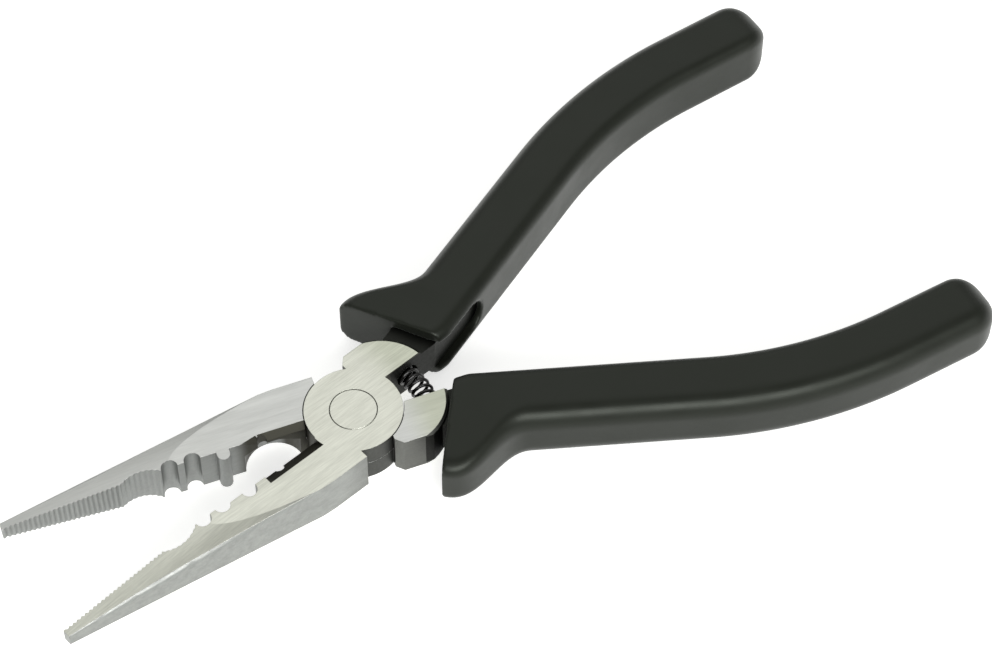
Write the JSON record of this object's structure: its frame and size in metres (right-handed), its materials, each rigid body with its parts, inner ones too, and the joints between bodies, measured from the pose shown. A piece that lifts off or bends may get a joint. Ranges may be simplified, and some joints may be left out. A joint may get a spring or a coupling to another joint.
{
  "type": "long-nose fishing pliers",
  "caption": "Spring-opened long-nose pliers with toothed and notched jaws, a wire cutter at the lapped joint and flared soft grips.",
  "frame": {"origin": "on the rivet's axis, at the rear face of the lapped joint", "axes": "+Z along the rivet's axis out of the front face, +X from the joint towards the handles, midway between them in the pose drawn, +Y to the left"},
  "size_m": [0.159, 0.0794, 0.0114],
  "materials": {
    "front_steel": "satin ground steel",
    "rear_steel": "satin ground steel",
    "rivet_steel": "satin ground flush with the joint",
    "spring_wire": "glossy black oxide",
    "grip": "matt black dipped PVC with a soft sheen"
  },
  "bodies": {
    "front_body": {"front_half": "front_steel", "pivot_rivet": "rivet_steel", "upper_grip": "grip", "return_spring": "spring_wire"},
    "rear_body": {"rear_half": "rear_steel", "lower_grip": "grip"}
  },
  "joints": [
    {"name": "pivot", "type": "hinge", "parent": "front_body", "child": "rear_body", "pos_m": [0, 0, 0.004], "axis": [0, 0, 1], "range_deg": [-12, 20.8], "stiffness_Nm_per_rad": 0.1, "deforming": ["return_spring"]}
  ]
}
